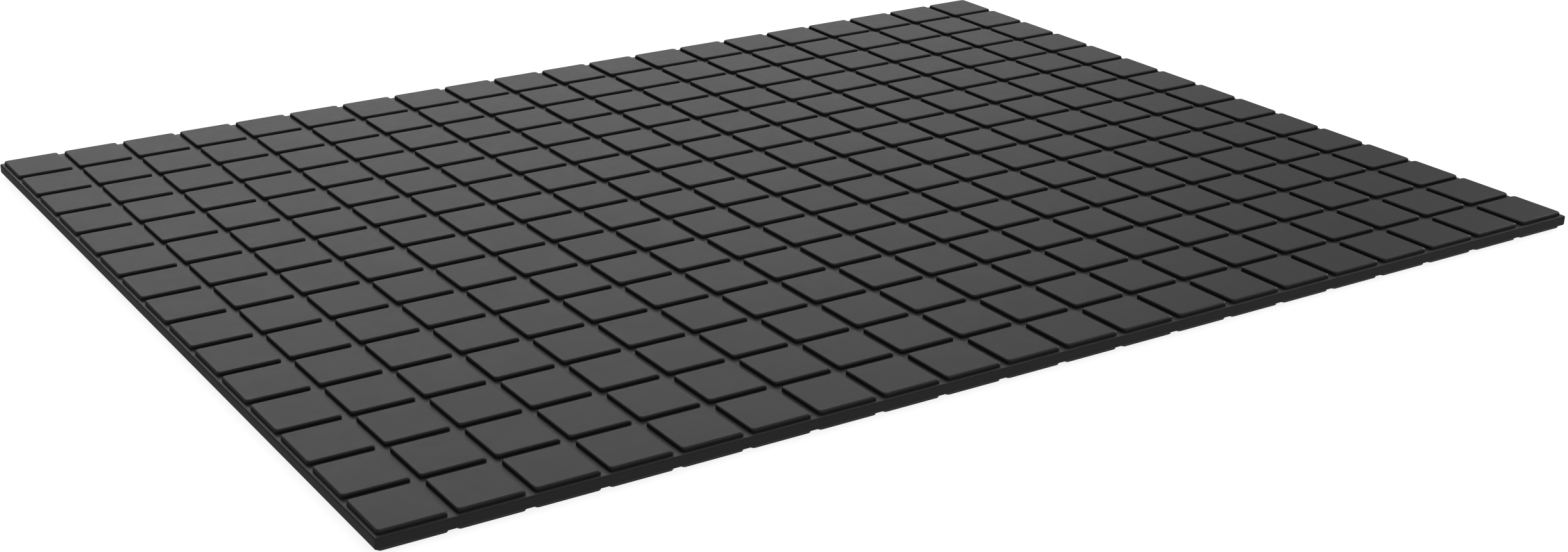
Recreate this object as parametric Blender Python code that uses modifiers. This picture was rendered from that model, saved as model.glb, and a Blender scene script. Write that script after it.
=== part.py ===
"""Rubber door mat: a plain carrier sheet with square pads on its top and on its underside.

The carrier sheet is one flat rectangle. Tread pads stand on its top in a square grid, and grip pads
hang under it in the same grid, so the mat lies on its grip pads and drains through the grooves
between them. The pads of one row are linked by a thin web, so that a row is a single piece. Every row
is bonded to the sheet across a narrow bond line.

Frame: +X along the mat's length, +Y across its width, +Z up. The origin is on the surface that the
mat lies on, under the middle of the mat.
"""

import math

import bmesh
import bpy

# Driving dimensions, in metres.
MAT_LENGTH = 0.600
MAT_WIDTH = 0.450
SHEET_THICKNESS = 0.0047
SHEET_EDGE_RADIUS = 0.0008
PAD_SIDE = 0.0266
GROOVE_WIDTH = 0.0034
EDGE_MARGIN = 0.0017  # least strip of bare sheet outside the outermost pads
TREAD_HEIGHT = 0.0018  # from the sheet's top to the top of a tread pad
TREAD_EDGE = 0.0008  # chamfer round the top of a tread pad
GRIP_HEIGHT = 0.0015  # from the sheet's underside to the foot of a grip pad
GRIP_EDGE = 0.0004  # chamfer round the foot of a grip pad
WEB_THICKNESS = 0.0003
BOND_LINE = 0.0003  # between the sheet and each row

# What follows from them.
PITCH = PAD_SIDE + GROOVE_WIDTH
SHEET_BOTTOM = GRIP_HEIGHT
SHEET_TOP = SHEET_BOTTOM + SHEET_THICKNESS

BEVEL_SEGMENTS = 2
MOST_OF_WALL = 0.75  # the share of a pad's bare side that its chamfer may take
COUNT_ROUNDING = 1e-6  # keeps a span that fits its pads exactly from losing the last one

# Linear colours and surface values of the three mouldings.
SHEET_COLOUR = (0.020, 0.020, 0.020, 1.0)
TREAD_COLOUR = (0.028, 0.028, 0.028, 1.0)
GRIP_COLOUR = (0.024, 0.024, 0.024, 1.0)
SHEET_ROUGHNESS = 0.60
TREAD_ROUGHNESS = 0.55
GRIP_ROUGHNESS = 0.65


def clear_scene():
    """Remove every object that the file opened with."""
    for obj in list(bpy.data.objects):
        bpy.data.objects.remove(obj, do_unlink=True)


def new_collection(name):
    """A collection linked to the scene."""
    collection = bpy.data.collections.new(name)
    bpy.context.scene.collection.children.link(collection)
    return collection


def rubber(name, colour, roughness):
    """A matt rubber of one colour."""
    material = bpy.data.materials.new(name)
    material.use_nodes = True
    shader = material.node_tree.nodes["Principled BSDF"]
    shader.inputs["Base Color"].default_value = colour
    shader.inputs["Roughness"].default_value = roughness
    shader.inputs["Metallic"].default_value = 0.0
    return material


def pads_across(span):
    """How many pads fit along a side of the sheet with the margin left at both ends."""
    room = span - 2 * EDGE_MARGIN + GROOVE_WIDTH
    return math.floor(room / PITCH + COUNT_ROUNDING)


def add_part(collection, parent, name, mesh, material):
    """A named sub-part of the mat, with its own material."""
    mesh.materials.clear()
    mesh.materials.append(material)
    part = bpy.data.objects.new(name, mesh)
    part.parent = parent
    collection.objects.link(part)
    return part


def box_mesh(name, size):
    """A box of the given size about its own centre."""
    bm = bmesh.new()
    bmesh.ops.create_cube(bm, size=1.0)
    bmesh.ops.scale(bm, vec=size, verts=bm.verts)
    mesh = bpy.data.meshes.new(name)
    bm.to_mesh(mesh)
    bm.free()
    return mesh


def carrier_sheet(collection, parent):
    """The flat sheet that carries the pads, with its cut edges slightly rounded."""
    mesh = box_mesh("carrier_sheet", (MAT_LENGTH, MAT_WIDTH, SHEET_THICKNESS))
    material = rubber("carrier_rubber", SHEET_COLOUR, SHEET_ROUGHNESS)
    sheet = add_part(collection, parent, "carrier_sheet", mesh, material)
    sheet.location.z = SHEET_BOTTOM + SHEET_THICKNESS / 2
    rounding = sheet.modifiers.new("edge_rounding", "BEVEL")
    rounding.width = SHEET_EDGE_RADIUS
    rounding.segments = BEVEL_SEGMENTS


def pad_row_mesh(name, height, edge):
    """A row of pads on its web: the bonding face is at z = 0 and the pads rise to the given height."""
    columns = pads_across(MAT_LENGTH)
    length = columns * PITCH - GROOVE_WIDTH
    bm = bmesh.new()
    bmesh.ops.create_cube(bm, size=1.0)
    bmesh.ops.scale(bm, vec=(length, PAD_SIDE, WEB_THICKNESS), verts=bm.verts)
    bmesh.ops.translate(bm, vec=(0.0, 0.0, WEB_THICKNESS / 2), verts=bm.verts)
    for column in range(1, columns):
        groove_end = column * PITCH - length / 2
        for x in (groove_end - GROOVE_WIDTH, groove_end):
            everything = bm.verts[:] + bm.edges[:] + bm.faces[:]
            bmesh.ops.bisect_plane(bm, geom=everything, plane_co=(x, 0.0, 0.0), plane_no=(1.0, 0.0, 0.0))
    pad_faces = [face for face in bm.faces if is_pad_face(face, length)]
    raised = bmesh.ops.extrude_discrete_faces(bm, faces=pad_faces)["faces"]
    wall = height - WEB_THICKNESS
    corners = [corner for face in raised for corner in face.verts]
    bmesh.ops.translate(bm, vec=(0.0, 0.0, wall), verts=corners)
    rims = [rim for face in raised for rim in face.edges]
    chamfer = min(edge, MOST_OF_WALL * wall)
    bmesh.ops.bevel(bm, geom=rims, offset=chamfer, segments=1, affect="EDGES")
    mesh = bpy.data.meshes.new(name)
    bm.to_mesh(mesh)
    bm.free()
    return mesh


def is_pad_face(face, length):
    """Whether a face of the web is the ground of a pad, and not of a groove."""
    from_row_end = face.calc_center_median().x + length / 2
    return face.normal.z > 0.5 and from_row_end % PITCH < PAD_SIDE


def pad_rows(collection, parent, name, height, edge, material, upside_down):
    """All the rows of one side of the mat, numbered from the -Y edge."""
    rows = pads_across(MAT_WIDTH)
    mesh = pad_row_mesh(name, height - BOND_LINE, edge)
    for row in range(rows):
        part = add_part(collection, parent, f"{name}_row_{row + 1:02d}", mesh, material)
        part.location.y = (row - (rows - 1) / 2) * PITCH
        if upside_down:
            part.location.z = SHEET_BOTTOM - BOND_LINE
            part.rotation_euler.x = math.pi
        else:
            part.location.z = SHEET_TOP + BOND_LINE


def door_mat():
    """The whole mat, lying flat."""
    clear_scene()
    collection = new_collection("door_mat")
    origin = bpy.data.objects.new("door_mat_origin", None)
    collection.objects.link(origin)
    carrier_sheet(collection, origin)
    tread_rubber = rubber("tread_rubber", TREAD_COLOUR, TREAD_ROUGHNESS)
    pad_rows(collection, origin, "tread", TREAD_HEIGHT, TREAD_EDGE, tread_rubber, False)
    grip_rubber = rubber("grip_rubber", GRIP_COLOUR, GRIP_ROUGHNESS)
    pad_rows(collection, origin, "grip", GRIP_HEIGHT, GRIP_EDGE, grip_rubber, True)


door_mat()
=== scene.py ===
"""Black rubber door mat, seen from above one corner on a pale studio floor.

A plain sheet of rubber carries square pads in an even grid: tread pads on its top and grip pads, in the
same grid, under it. Every part is matt rubber with a fine grain. The tread pads' sides are painted with
shade, which makes them blacker than their tops, and the sheet's cut edges are duller than its moulded
faces and painted with shade too.
"""

import math

import bmesh
import bpy
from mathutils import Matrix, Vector


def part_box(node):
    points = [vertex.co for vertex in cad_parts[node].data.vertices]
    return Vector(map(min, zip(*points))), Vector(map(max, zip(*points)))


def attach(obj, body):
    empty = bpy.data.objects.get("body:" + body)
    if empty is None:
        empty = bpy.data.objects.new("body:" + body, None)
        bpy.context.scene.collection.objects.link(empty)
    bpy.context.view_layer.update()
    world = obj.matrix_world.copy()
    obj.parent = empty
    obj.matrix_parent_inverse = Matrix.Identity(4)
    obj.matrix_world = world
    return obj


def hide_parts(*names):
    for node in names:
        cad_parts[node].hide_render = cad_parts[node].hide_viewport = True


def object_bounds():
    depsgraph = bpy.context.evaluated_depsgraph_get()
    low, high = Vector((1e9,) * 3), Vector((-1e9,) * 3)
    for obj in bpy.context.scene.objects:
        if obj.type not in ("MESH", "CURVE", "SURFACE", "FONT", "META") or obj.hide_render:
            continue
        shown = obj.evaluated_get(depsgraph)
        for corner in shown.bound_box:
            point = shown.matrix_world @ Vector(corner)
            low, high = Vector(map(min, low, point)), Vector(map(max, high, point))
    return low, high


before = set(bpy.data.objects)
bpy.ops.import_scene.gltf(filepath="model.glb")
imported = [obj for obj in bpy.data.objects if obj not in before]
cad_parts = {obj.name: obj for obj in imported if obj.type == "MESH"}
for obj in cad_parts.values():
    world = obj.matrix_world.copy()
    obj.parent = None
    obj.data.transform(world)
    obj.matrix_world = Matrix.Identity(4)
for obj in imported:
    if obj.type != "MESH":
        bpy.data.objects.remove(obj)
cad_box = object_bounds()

MM = 0.001

# Shapes of the mouldings.
SHEET_ROUNDING = 0.8 * MM
SHEET_ROUNDING_STEPS = 4
PAD_CORNER_RADIUS = 1.3 * MM
PAD_CORNER_STEPS = 3
TREAD_ROUNDING = 0.8 * MM
GRIP_ROUNDING = 0.4 * MM
FOOT_SINK = 0.2 * MM  # how far a pad's foot runs on into the sheet
SHARP_FROM = math.radians(60)
SAME_POINT = 0.001 * MM

# Where the pads are, as the CAD rows give it.
TREAD_ROWS = sorted(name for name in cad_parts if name.startswith("tread_row"))
GRIP_ROWS = sorted(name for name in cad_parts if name.startswith("grip_row"))
SHEET_LOW, SHEET_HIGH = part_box("carrier_sheet")


def row_centre(node):
    """The middle of a CAD row across the mat."""
    low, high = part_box(node)
    return (low.y + high.y) / 2


ROW_LOW, ROW_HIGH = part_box(TREAD_ROWS[0])
PAD_SIDE = ROW_HIGH.y - ROW_LOW.y
PITCH = row_centre(TREAD_ROWS[1]) - row_centre(TREAD_ROWS[0])
PADS_IN_ROW = round((ROW_HIGH.x - ROW_LOW.x - PAD_SIDE) / PITCH) + 1


# Geometry of the pads.


class Tree:
    """A geometry node tree under construction."""

    def __init__(self, name):
        self.group = bpy.data.node_groups.new(name, "GeometryNodeTree")
        self.entry = None

    def size(self, name, kind):
        """A named input of the tree."""
        self.group.interface.new_socket(name, in_out="INPUT", socket_type=kind)

    def given(self, name):
        """The socket that carries a named input."""
        if self.entry is None:
            self.entry = self.group.nodes.new("NodeGroupInput")
        return self.entry.outputs[name]

    def node(self, kind, settings=None, output=0, **values):
        """A node with its settings and its sockets' values or links; a name here takes _ for a space."""
        made = self.group.nodes.new(kind)
        for setting, value in (settings or {}).items():
            setattr(made, setting, value)
        for name, value in values.items():
            socket = first_enabled(made.inputs, name.replace("_", " "))
            if isinstance(value, bpy.types.NodeSocket):
                self.group.links.new(value, socket)
            else:
                socket.default_value = value
        return made.outputs[output]

    def math(self, operation, first, second):
        """A Math node on two numbers or sockets."""
        made = self.group.nodes.new("ShaderNodeMath")
        made.operation = operation
        for socket, value in zip(made.inputs, (first, second)):
            if isinstance(value, bpy.types.NodeSocket):
                self.group.links.new(value, socket)
            else:
                socket.default_value = value
        return made.outputs[0]

    def upward(self, z):
        """A vector that points up by z."""
        return self.node("ShaderNodeCombineXYZ", Z=z)

    def close(self, geometry):
        """Send the geometry to the tree's output."""
        self.group.interface.new_socket("Geometry", in_out="OUTPUT", socket_type="NodeSocketGeometry")
        end = self.group.nodes.new("NodeGroupOutput")
        self.group.links.new(geometry, end.inputs["Geometry"])
        return self.group


def first_enabled(sockets, name):
    """The socket in use that has this name, as some nodes hold several of one name."""
    return next(socket for socket in sockets if socket.name == name and socket.enabled)


def pad_solid(tree):
    """One closed pad, with its foot's middle at the origin and its top rounded over."""
    side = tree.given("Pad side")
    rounding = tree.given("Top rounding")
    height = tree.given("Height")
    outline = tree.node("GeometryNodeCurvePrimitiveQuadrilateral", Width=side, Height=side)
    outline = tree.node(
        "GeometryNodeFilletCurve",
        {"mode": "POLY"},
        Curve=outline,
        Count=PAD_CORNER_STEPS,
        Radius=tree.given("Corner radius"),
    )
    foot = tree.node("GeometryNodeFillCurve", {"mode": "NGONS"}, Curve=outline)
    # The rounding is two flats that meet where a quarter circle leans at 45 degrees.
    lean = math.cos(math.radians(45))
    wall = tree.math("SUBTRACT", height, rounding)
    shoulder_inset = tree.math("MULTIPLY", rounding, 2 * (1 - lean))
    rim_inset = tree.math("MULTIPLY", rounding, 2.0)
    shoulder_side = tree.math("SUBTRACT", side, shoulder_inset)
    rim_side = tree.math("SUBTRACT", side, rim_inset)
    rings = (
        (wall, 1.0),
        (tree.math("MULTIPLY", rounding, lean), tree.math("DIVIDE", shoulder_side, side)),
        (tree.math("MULTIPLY", rounding, 1 - lean), tree.math("DIVIDE", rim_side, shoulder_side)),
    )
    body = foot
    top = None
    for rise, shrink in rings:
        values = {"Mesh": body, "Offset": tree.upward(1.0), "Offset_Scale": rise, "Individual": False}
        if top is not None:
            values["Selection"] = top
        raised = tree.node("GeometryNodeExtrudeMesh", {"mode": "FACES"}, **values)
        top = raised.node.outputs["Top"]
        body = tree.node("GeometryNodeScaleElements", Geometry=raised, Selection=top, Scale=shrink)
    sole = tree.node("GeometryNodeFlipFaces", Mesh=foot)
    joined = tree.group.nodes.new("GeometryNodeJoinGeometry")
    for part in (sole, body):
        tree.group.links.new(part, joined.inputs[0])
    closed = tree.node("GeometryNodeMergeByDistance", Geometry=joined.outputs[0], Distance=SAME_POINT)
    smooth = tree.node("GeometryNodeSetShadeSmooth", Geometry=closed, Shade_Smooth=True)
    corner = tree.node("GeometryNodeInputMeshEdgeAngle")
    sharp = tree.node(
        "FunctionNodeCompare",
        {"data_type": "FLOAT", "operation": "GREATER_THAN"},
        A=corner,
        B=SHARP_FROM,
    )
    return tree.node(
        "GeometryNodeSetShadeSmooth",
        {"domain": "EDGE"},
        Geometry=smooth,
        Selection=sharp,
        Shade_Smooth=False,
    )


def pad_row_tree():
    """The tree that lays one row of pads along X."""
    tree = Tree("row_of_pads")
    for name in ("Pad side", "Corner radius", "Top rounding", "Height", "Pitch"):
        tree.size(name, "NodeSocketFloat")
    tree.size("Pads", "NodeSocketInt")
    tree.size("First pad", "NodeSocketVector")
    tree.size("Turn", "NodeSocketVector")
    tree.size("Rubber", "NodeSocketMaterial")
    step = tree.node("ShaderNodeCombineXYZ", X=tree.given("Pitch"))
    line = tree.node(
        "GeometryNodeMeshLine",
        {"mode": "OFFSET"},
        Count=tree.given("Pads"),
        Start_Location=tree.given("First pad"),
        Offset=step,
    )
    turn = tree.node("FunctionNodeEulerToRotation", Euler=tree.given("Turn"))
    row = tree.node("GeometryNodeInstanceOnPoints", Points=line, Instance=pad_solid(tree), Rotation=turn)
    row = tree.node("GeometryNodeRealizeInstances", Geometry=row)
    row = tree.node("GeometryNodeSetMaterial", Geometry=row, Material=tree.given("Rubber"))
    return tree.close(row)


def finished(piece):
    """The piece as a plain mesh, its modifiers worked in and its wide faces shaded flat."""
    level = piece.modifiers.new("level_faces", "WEIGHTED_NORMAL")
    level.keep_sharp = True
    graph = bpy.context.evaluated_depsgraph_get()
    graph.update()
    mesh = bpy.data.meshes.new_from_object(piece.evaluated_get(graph), depsgraph=graph)
    piece.modifiers.clear()
    piece.data = mesh
    mesh.name = piece.name
    return piece


def new_piece(name, mesh):
    """An object of the mat in the scene."""
    piece = bpy.data.objects.new(name, mesh)
    bpy.context.scene.collection.objects.link(piece)
    return piece


def settle(piece, node):
    """Let the piece stand for its CAD node: hang it under the root body and hide the node."""
    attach(piece, "root")
    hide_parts(node)


def row_of_pads(name, node, tree, foot, top, rounding, rubber):
    """A row of pads that stands from the sheet's face at foot up, or down, to top."""
    low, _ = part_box(node)
    upside_down = top < foot
    inward = FOOT_SINK if upside_down else -FOOT_SINK
    piece = new_piece(name, bpy.data.meshes.new(name))
    modifier = piece.modifiers.new("pads", "NODES")
    modifier.node_group = tree
    sizes = {
        "Pad side": PAD_SIDE,
        "Corner radius": PAD_CORNER_RADIUS,
        "Top rounding": rounding,
        "Height": abs(top - foot) + FOOT_SINK,
        "Pitch": PITCH,
        "Pads": PADS_IN_ROW,
        "First pad": (low.x + PAD_SIDE / 2, row_centre(node), foot + inward),
        "Turn": (math.pi if upside_down else 0.0, 0.0, 0.0),
        "Rubber": rubber,
    }
    for item in tree.interface.items_tree:
        if item.in_out == "INPUT":
            modifier[item.identifier] = sizes[item.name]
    settle(finished(piece), node)


def sheet(rubber):
    """The flat sheet between the two sets of pads, with its edges and corners rounded."""
    size = SHEET_HIGH - SHEET_LOW
    bm = bmesh.new()
    bmesh.ops.create_cube(bm, size=1.0)
    bmesh.ops.scale(bm, vec=size, verts=bm.verts)
    bmesh.ops.bevel(
        bm,
        geom=bm.edges[:],
        offset=SHEET_ROUNDING,
        segments=SHEET_ROUNDING_STEPS,
        profile=0.5,
        affect="EDGES",
    )
    bmesh.ops.translate(bm, vec=(SHEET_LOW + SHEET_HIGH) / 2, verts=bm.verts)
    mesh = bpy.data.meshes.new("plain_sheet")
    bm.to_mesh(mesh)
    bm.free()
    mesh.shade_smooth()
    mesh.materials.append(rubber)
    settle(finished(new_piece("plain_sheet", mesh)), "carrier_sheet")


# Rubber finishes.

# Painted shade: the two tones below darken the colour of the tread pads' sides and of the sheet's cut
# edges, standing in for the shade these faces get.
PAD_SIDE_PAINTED_SHADE = 0.005
CUT_EDGE_PAINTED_SHADE = 0.012
SIDE_DULLNESS = 0.30  # how much rougher the sides are than the tops
# Painted shade on a tread pad's sides fades out towards its top between these two depths.
TOP_UNSHADED_DEPTH = 0.1 * MM  # below a tread pad's top
SIDE_SHADE_DEPTH = 0.9 * MM
CUT_FULL = 0.1 * MM  # in from the sheet's outline
CUT_ENDS = 0.7 * MM
CLOUD_SIZE = 45 * MM
MOTTLE_SIZE = 5 * MM
GRAIN_SIZE = 0.45 * MM
PIT_SIZE = 1.6 * MM
RIM_FULL = 0.5 * MM  # in from the edge of a pad
RIM_ENDS = 1.3 * MM
RIM_WANDER = 0.5 * MM
RELIEF = 0.02 * MM
RUBBER_IOR = 1.5
RUBBER_SHINE = 0.14


class Value:
    """A shader socket that Python arithmetic carries on with Math nodes."""

    def __init__(self, finish, socket):
        self.finish = finish
        self.socket = socket

    def __add__(self, other):
        return self.finish.math("ADD", self, other)

    def __radd__(self, other):
        return self.finish.math("ADD", other, self)

    def __sub__(self, other):
        return self.finish.math("SUBTRACT", self, other)

    def __rsub__(self, other):
        return self.finish.math("SUBTRACT", other, self)

    def __mul__(self, other):
        return self.finish.math("MULTIPLY", self, other)

    def __abs__(self):
        return self.finish.math("ABSOLUTE", self)


class Finish:
    """A material under construction, with the helpers that its nodes need."""

    def __init__(self, name):
        self.material = bpy.data.materials.new(name)
        self.material.use_nodes = True
        self.tree = self.material.node_tree
        self.surface = self.tree.nodes["Principled BSDF"]
        self.place = self.node("ShaderNodeTexCoord", output="Object")

    def node(self, kind, settings=None, output=0, **values):
        """A node with its settings and its sockets' values or links; a name here takes _ for a space."""
        made = self.tree.nodes.new(kind)
        for setting, value in (settings or {}).items():
            setattr(made, setting, value)
        for name, value in values.items():
            self.join(value, first_enabled(made.inputs, name.replace("_", " ")))
        return Value(self, made.outputs[output])

    def join(self, value, socket):
        """Give a socket its value, or a link."""
        if isinstance(value, Value):
            self.tree.links.new(value.socket, socket)
        else:
            socket.default_value = value

    def math(self, operation, *values):
        """A Math node on numbers or values."""
        made = self.tree.nodes.new("ShaderNodeMath")
        made.operation = operation
        for value, socket in zip(values, made.inputs):
            self.join(value, socket)
        return Value(self, made.outputs[0])

    def noise(self, size, detail, roughness=0.5):
        """Noise with features of about the given size, from 0 to 1."""
        return self.node(
            "ShaderNodeTexNoise",
            Vector=self.place,
            Scale=1 / size,
            Detail=detail,
            Roughness=roughness,
        )

    def ramp(self, value, start, end):
        """0 at start and below, 1 at end and above, with soft ends."""
        return self.node(
            "ShaderNodeMapRange",
            {"interpolation_type": "SMOOTHSTEP", "clamp": True},
            Value=value,
            From_Min=start,
            From_Max=end,
        )

    def mix(self, factor, first, second):
        """A colour between two others."""
        return self.node(
            "ShaderNodeMix", {"data_type": "RGBA"}, output=2, Factor=factor, A=first, B=second
        )

    def coordinates(self):
        """The place of a point on the mat, as three numbers."""
        apart = self.node("ShaderNodeSeparateXYZ", Vector=self.place)
        return [Value(self, socket) for socket in apart.socket.node.outputs]

    def to_pad_edge(self):
        """How far inside the nearest edge of its pad a point lies, seen from above."""
        x, y, _ = self.coordinates()
        inside = []
        for along, first_edge in ((x, ROW_LOW.x), (y, ROW_LOW.y)):
            in_pitch = self.math("FLOORED_MODULO", along - first_edge, PITCH)
            inside.append(PAD_SIDE / 2 - abs(in_pitch - PAD_SIDE / 2))
        return self.math("MINIMUM", *inside)

    def set(self, **values):
        """Set sockets of the surface shader."""
        for name, value in values.items():
            self.join(value, self.surface.inputs[name.replace("_", " ")])


def grey(level):
    """A neutral colour."""
    return (level, level, level, 1.0)


def tread_tops(finish):
    """1 on the tops of the tread pads and 0 down their sides, where painted shade darkens the colour."""
    _, _, z = finish.coordinates()
    return finish.ramp(z, ROW_HIGH.z - SIDE_SHADE_DEPTH, ROW_HIGH.z - TOP_UNSHADED_DEPTH)


def moulded_faces(finish):
    """1 on the sheet's moulded faces and 0 on its cut edges, where painted shade darkens the colour."""
    x, y, _ = finish.coordinates()
    beyond = finish.math("MAXIMUM", abs(x) - SHEET_HIGH.x, abs(y) - SHEET_HIGH.y)
    return finish.ramp(beyond, -CUT_FULL, -CUT_ENDS)


def moulded_rubber(name, dark, light, roughness, rubbed, shade_free_mask=None, painted_side_shade=0.0):
    """Matt moulded rubber: fine grain, slow clouding of the mix, rubbed rims and duller sides, with
    painted shade on the sides where a mask is given.
    """
    finish = Finish(name)
    clouding = finish.noise(CLOUD_SIZE, detail=3.0)
    mottle = finish.noise(MOTTLE_SIZE, detail=4.0, roughness=0.6)
    grain = finish.noise(GRAIN_SIZE, detail=2.0, roughness=0.6)
    pits = finish.noise(PIT_SIZE, detail=3.0, roughness=0.7)
    edge = finish.to_pad_edge()
    rim = finish.ramp(edge + mottle * RIM_WANDER, RIM_ENDS, RIM_FULL)
    tone = clouding * 0.55 + mottle * 0.30 + grain * 0.15
    colour = finish.mix(tone + rim * rubbed, grey(dark), grey(light))
    dullness = roughness + (mottle - 0.5) * 0.10 + (clouding - 0.5) * 0.06 - rim * 0.04
    # Where a mask is given, painted shade darkens the colour of the sides, and the sides are made
    # rougher.
    if shade_free_mask is not None:
        unshaded_part = shade_free_mask(finish)
        colour = finish.mix(unshaded_part, grey(painted_side_shade), colour)
        dullness = dullness + (1.0 - unshaded_part) * SIDE_DULLNESS
    finish.set(
        Base_Color=colour,
        Roughness=dullness,
        Normal=finish.node(
            "ShaderNodeBump",
            Strength=1.0,
            Distance=RELIEF,
            Height=grain * 0.7 + pits * 0.6,
        ),
        IOR=RUBBER_IOR,
        Specular_IOR_Level=RUBBER_SHINE,
    )
    return finish.material


# The studio.

FLOOR_REACH = 20.0  # from the mat's middle to the floor's edge
FLOOR_DROP = 0.05 * MM  # keeps the floor clear of the grip pads
FLOOR_TONE = 0.25
FLOOR_ROUGHNESS = 0.9
FLOOR_GLOW = 0.85
ROOM_GLOW = 0.10
SENSOR_WIDTH = 36.0
LENS = 51.32
SHIFT_ACROSS = 0.0688
NEAREST = 0.01
FARTHEST = 60.0
CAMERA_X = -0.5562
CAMERA_Y = -0.8419
CAMERA_ABOVE_MAT = 0.3580
CAMERA_TILT = math.radians(68.13)
CAMERA_TURN = math.radians(-31.23)


def studio_floor():
    """A wide pale floor just under the mat, which glows evenly so that shadows on it stay faint."""
    bm = bmesh.new()
    bmesh.ops.create_grid(bm, x_segments=1, y_segments=1, size=FLOOR_REACH)
    bmesh.ops.translate(bm, vec=(0.0, 0.0, -FLOOR_DROP), verts=bm.verts)
    mesh = bpy.data.meshes.new("studio_floor")
    bm.to_mesh(mesh)
    bm.free()
    finish = Finish("pale_floor")
    finish.set(
        Base_Color=grey(FLOOR_TONE),
        Roughness=FLOOR_ROUGHNESS,
        Emission_Color=grey(1.0),
        Emission_Strength=FLOOR_GLOW,
    )
    mesh.materials.append(finish.material)
    new_piece("studio_floor", mesh)


def soft_light(name, azimuth, elevation, spread, brightness):
    """A far, even softbox that fills a disc of the room; its azimuth runs from +X towards +Y."""
    around, up, half = math.radians(azimuth), math.radians(elevation), math.radians(spread / 2)
    source = Vector((math.cos(around) * math.cos(up), math.sin(around) * math.cos(up), math.sin(up)))
    light = bpy.data.lights.new(name, "SUN")
    light.angle = 2 * half
    light.energy = brightness * math.pi * math.sin(half) ** 2
    lamp = bpy.data.objects.new(name, light)
    lamp.rotation_euler = source.to_track_quat("Z", "Y").to_euler()
    bpy.context.scene.collection.objects.link(lamp)


def studio_light():
    """A key light, low strips on the right and behind, a top light and three fills, in a dim room."""
    soft_light("key_light", azimuth=35, elevation=50, spread=30, brightness=1.2)
    soft_light("right_strip", azimuth=10, elevation=15, spread=30, brightness=10.3)
    soft_light("near_right_strip", azimuth=-40, elevation=15, spread=30, brightness=2.8)
    soft_light("back_light", azimuth=85, elevation=32, spread=30, brightness=3.4)
    soft_light("back_right_light", azimuth=60, elevation=35, spread=30, brightness=1.15)
    soft_light("back_right_strip", azimuth=60, elevation=15, spread=30, brightness=1.45)
    soft_light("top_light", azimuth=0, elevation=84, spread=40, brightness=1.0)
    for azimuth in (180, 225, 270):
        soft_light(f"fill_light_{azimuth}", azimuth, elevation=28, spread=45, brightness=0.9)
    world = bpy.data.worlds.new("studio_room")
    world.use_nodes = True
    world.node_tree.nodes["Background"].inputs["Color"].default_value = grey(1.0)
    world.node_tree.nodes["Background"].inputs["Strength"].default_value = ROOM_GLOW
    bpy.context.scene.world = world


def camera():
    """The camera stands off the near left corner and looks down along the mat."""
    data = bpy.data.cameras.new("camera")
    data.sensor_width = SENSOR_WIDTH
    data.lens = LENS
    data.shift_x = SHIFT_ACROSS
    data.clip_start = NEAREST
    data.clip_end = FARTHEST
    eye = bpy.data.objects.new("camera", data)
    eye.location = (CAMERA_X, CAMERA_Y, cad_box[1].z + CAMERA_ABOVE_MAT)
    eye.rotation_euler = (CAMERA_TILT, 0.0, CAMERA_TURN)
    bpy.context.scene.collection.objects.link(eye)
    bpy.context.scene.camera = eye


# The tread pads' sides take painted shade, a darker colour that stands in for the shade down their
# sides.
tread_rubber = moulded_rubber(
    "tread_rubber",
    dark=0.012,
    light=0.024,
    roughness=0.50,
    rubbed=0.08,
    shade_free_mask=tread_tops,
    painted_side_shade=PAD_SIDE_PAINTED_SHADE,
)
grip_rubber = moulded_rubber("grip_rubber", dark=0.012, light=0.022, roughness=0.58, rubbed=0.10)
# The sheet's cut edges take painted shade, a darker colour that stands in for the shade on them.
sheet_rubber = moulded_rubber(
    "sheet_rubber",
    dark=0.020,
    light=0.034,
    roughness=0.50,
    rubbed=0.0,
    shade_free_mask=moulded_faces,
    painted_side_shade=CUT_EDGE_PAINTED_SHADE,
)

pads = pad_row_tree()
sheet(sheet_rubber)
for node in TREAD_ROWS:
    name = node.replace("row", "pads")
    foot, top = SHEET_HIGH.z, ROW_HIGH.z
    row_of_pads(name, node, pads, foot, top, TREAD_ROUNDING, tread_rubber)
for node in GRIP_ROWS:
    name = node.replace("row", "pads")
    foot, top = SHEET_LOW.z, cad_box[0].z
    row_of_pads(name, node, pads, foot, top, GRIP_ROUNDING, grip_rubber)

studio_floor()
studio_light()
camera()
bpy.context.scene.view_settings.view_transform = "Standard"
